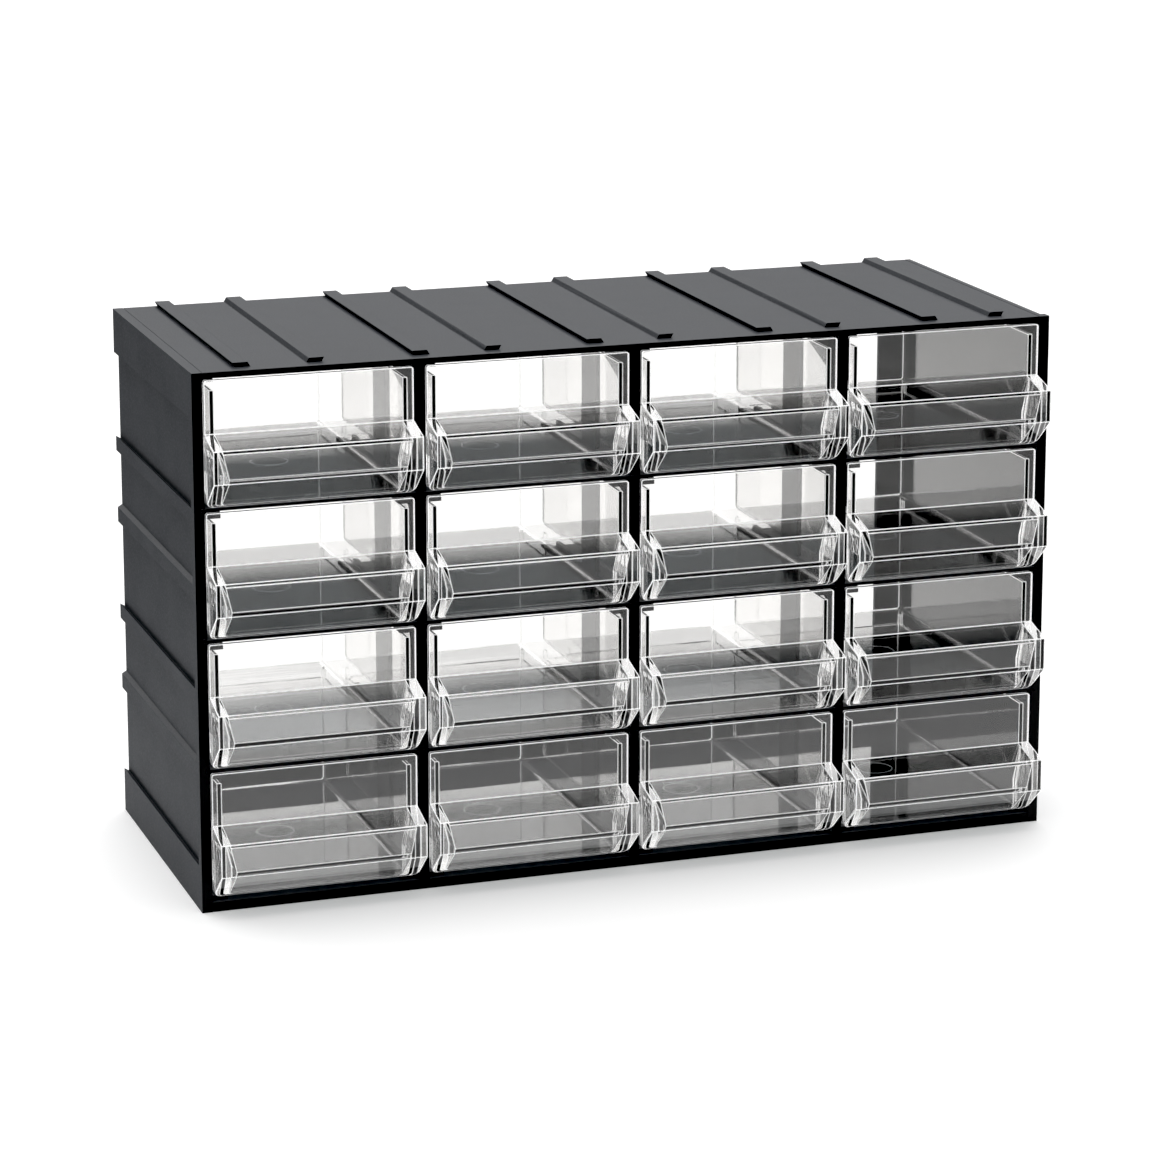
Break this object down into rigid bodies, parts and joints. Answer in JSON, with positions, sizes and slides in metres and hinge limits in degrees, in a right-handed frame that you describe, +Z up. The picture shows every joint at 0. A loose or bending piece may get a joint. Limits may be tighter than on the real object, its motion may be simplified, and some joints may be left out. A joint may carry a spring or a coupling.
{
  "type": "modular drawer parts organizer",
  "caption": "Open-backed black plastic housing with dovetail ribs on its outside, holding four rows of clear sliding drawers with a pull scoop on each front.",
  "frame": {"origin": "under the middle of the whole object, drawer scoops included, at table height", "axes": "+X to the right across the drawer fronts, +Y from the fronts to the back, +Z up"},
  "size_m": [0.382, 0.1624, 0.232],
  "materials": {
    "housing_plastic": "fine spark-textured black polystyrene with a low satin sheen",
    "clear_drawer_plastic": "clear polished crystal polystyrene, bright along its edges"
  },
  "bodies": {
    "housing": {"top_panel": "housing_plastic", "bottom_panel": "housing_plastic", "left_side_panel": "housing_plastic", "right_side_panel": "housing_plastic", "column_divider_1": "housing_plastic", "column_divider_2": "housing_plastic", "column_divider_3": "housing_plastic", "row_rail_1": "housing_plastic", "row_rail_2": "housing_plastic", "row_rail_3": "housing_plastic"},
    "drawer_r1_c1": {"drawer_r1_c1": "clear_drawer_plastic"},
    "drawer_r1_c2": {"drawer_r1_c2": "clear_drawer_plastic"},
    "drawer_r1_c3": {"drawer_r1_c3": "clear_drawer_plastic"},
    "drawer_r1_c4": {"drawer_r1_c4": "clear_drawer_plastic"},
    "drawer_r2_c1": {"drawer_r2_c1": "clear_drawer_plastic"},
    "drawer_r2_c2": {"drawer_r2_c2": "clear_drawer_plastic"},
    "drawer_r2_c3": {"drawer_r2_c3": "clear_drawer_plastic"},
    "drawer_r2_c4": {"drawer_r2_c4": "clear_drawer_plastic"},
    "drawer_r3_c1": {"drawer_r3_c1": "clear_drawer_plastic"},
    "drawer_r3_c2": {"drawer_r3_c2": "clear_drawer_plastic"},
    "drawer_r3_c3": {"drawer_r3_c3": "clear_drawer_plastic"},
    "drawer_r3_c4": {"drawer_r3_c4": "clear_drawer_plastic"},
    "drawer_r4_c1": {"drawer_r4_c1": "clear_drawer_plastic"},
    "drawer_r4_c2": {"drawer_r4_c2": "clear_drawer_plastic"},
    "drawer_r4_c3": {"drawer_r4_c3": "clear_drawer_plastic"},
    "drawer_r4_c4": {"drawer_r4_c4": "clear_drawer_plastic"}
  },
  "joints": [
    {"name": "drawer_r1_c1_slide", "type": "slide", "parent": "housing", "child": "drawer_r1_c1", "axis": [0, -1, 0], "range_m": [0, 0.12]},
    {"name": "drawer_r1_c2_slide", "type": "slide", "parent": "housing", "child": "drawer_r1_c2", "axis": [0, -1, 0], "range_m": [0, 0.12]},
    {"name": "drawer_r1_c3_slide", "type": "slide", "parent": "housing", "child": "drawer_r1_c3", "axis": [0, -1, 0], "range_m": [0, 0.12]},
    {"name": "drawer_r1_c4_slide", "type": "slide", "parent": "housing", "child": "drawer_r1_c4", "axis": [0, -1, 0], "range_m": [0, 0.12]},
    {"name": "drawer_r2_c1_slide", "type": "slide", "parent": "housing", "child": "drawer_r2_c1", "axis": [0, -1, 0], "range_m": [0, 0.12]},
    {"name": "drawer_r2_c2_slide", "type": "slide", "parent": "housing", "child": "drawer_r2_c2", "axis": [0, -1, 0], "range_m": [0, 0.12]},
    {"name": "drawer_r2_c3_slide", "type": "slide", "parent": "housing", "child": "drawer_r2_c3", "axis": [0, -1, 0], "range_m": [0, 0.12]},
    {"name": "drawer_r2_c4_slide", "type": "slide", "parent": "housing", "child": "drawer_r2_c4", "axis": [0, -1, 0], "range_m": [0, 0.12]},
    {"name": "drawer_r3_c1_slide", "type": "slide", "parent": "housing", "child": "drawer_r3_c1", "axis": [0, -1, 0], "range_m": [0, 0.12]},
    {"name": "drawer_r3_c2_slide", "type": "slide", "parent": "housing", "child": "drawer_r3_c2", "axis": [0, -1, 0], "range_m": [0, 0.12]},
    {"name": "drawer_r3_c3_slide", "type": "slide", "parent": "housing", "child": "drawer_r3_c3", "axis": [0, -1, 0], "range_m": [0, 0.12]},
    {"name": "drawer_r3_c4_slide", "type": "slide", "parent": "housing", "child": "drawer_r3_c4", "axis": [0, -1, 0], "range_m": [0, 0.12]},
    {"name": "drawer_r4_c1_slide", "type": "slide", "parent": "housing", "child": "drawer_r4_c1", "axis": [0, -1, 0], "range_m": [0, 0.12]},
    {"name": "drawer_r4_c2_slide", "type": "slide", "parent": "housing", "child": "drawer_r4_c2", "axis": [0, -1, 0], "range_m": [0, 0.12]},
    {"name": "drawer_r4_c3_slide", "type": "slide", "parent": "housing", "child": "drawer_r4_c3", "axis": [0, -1, 0], "range_m": [0, 0.12]},
    {"name": "drawer_r4_c4_slide", "type": "slide", "parent": "housing", "child": "drawer_r4_c4", "axis": [0, -1, 0], "range_m": [0, 0.12]}
  ]
}
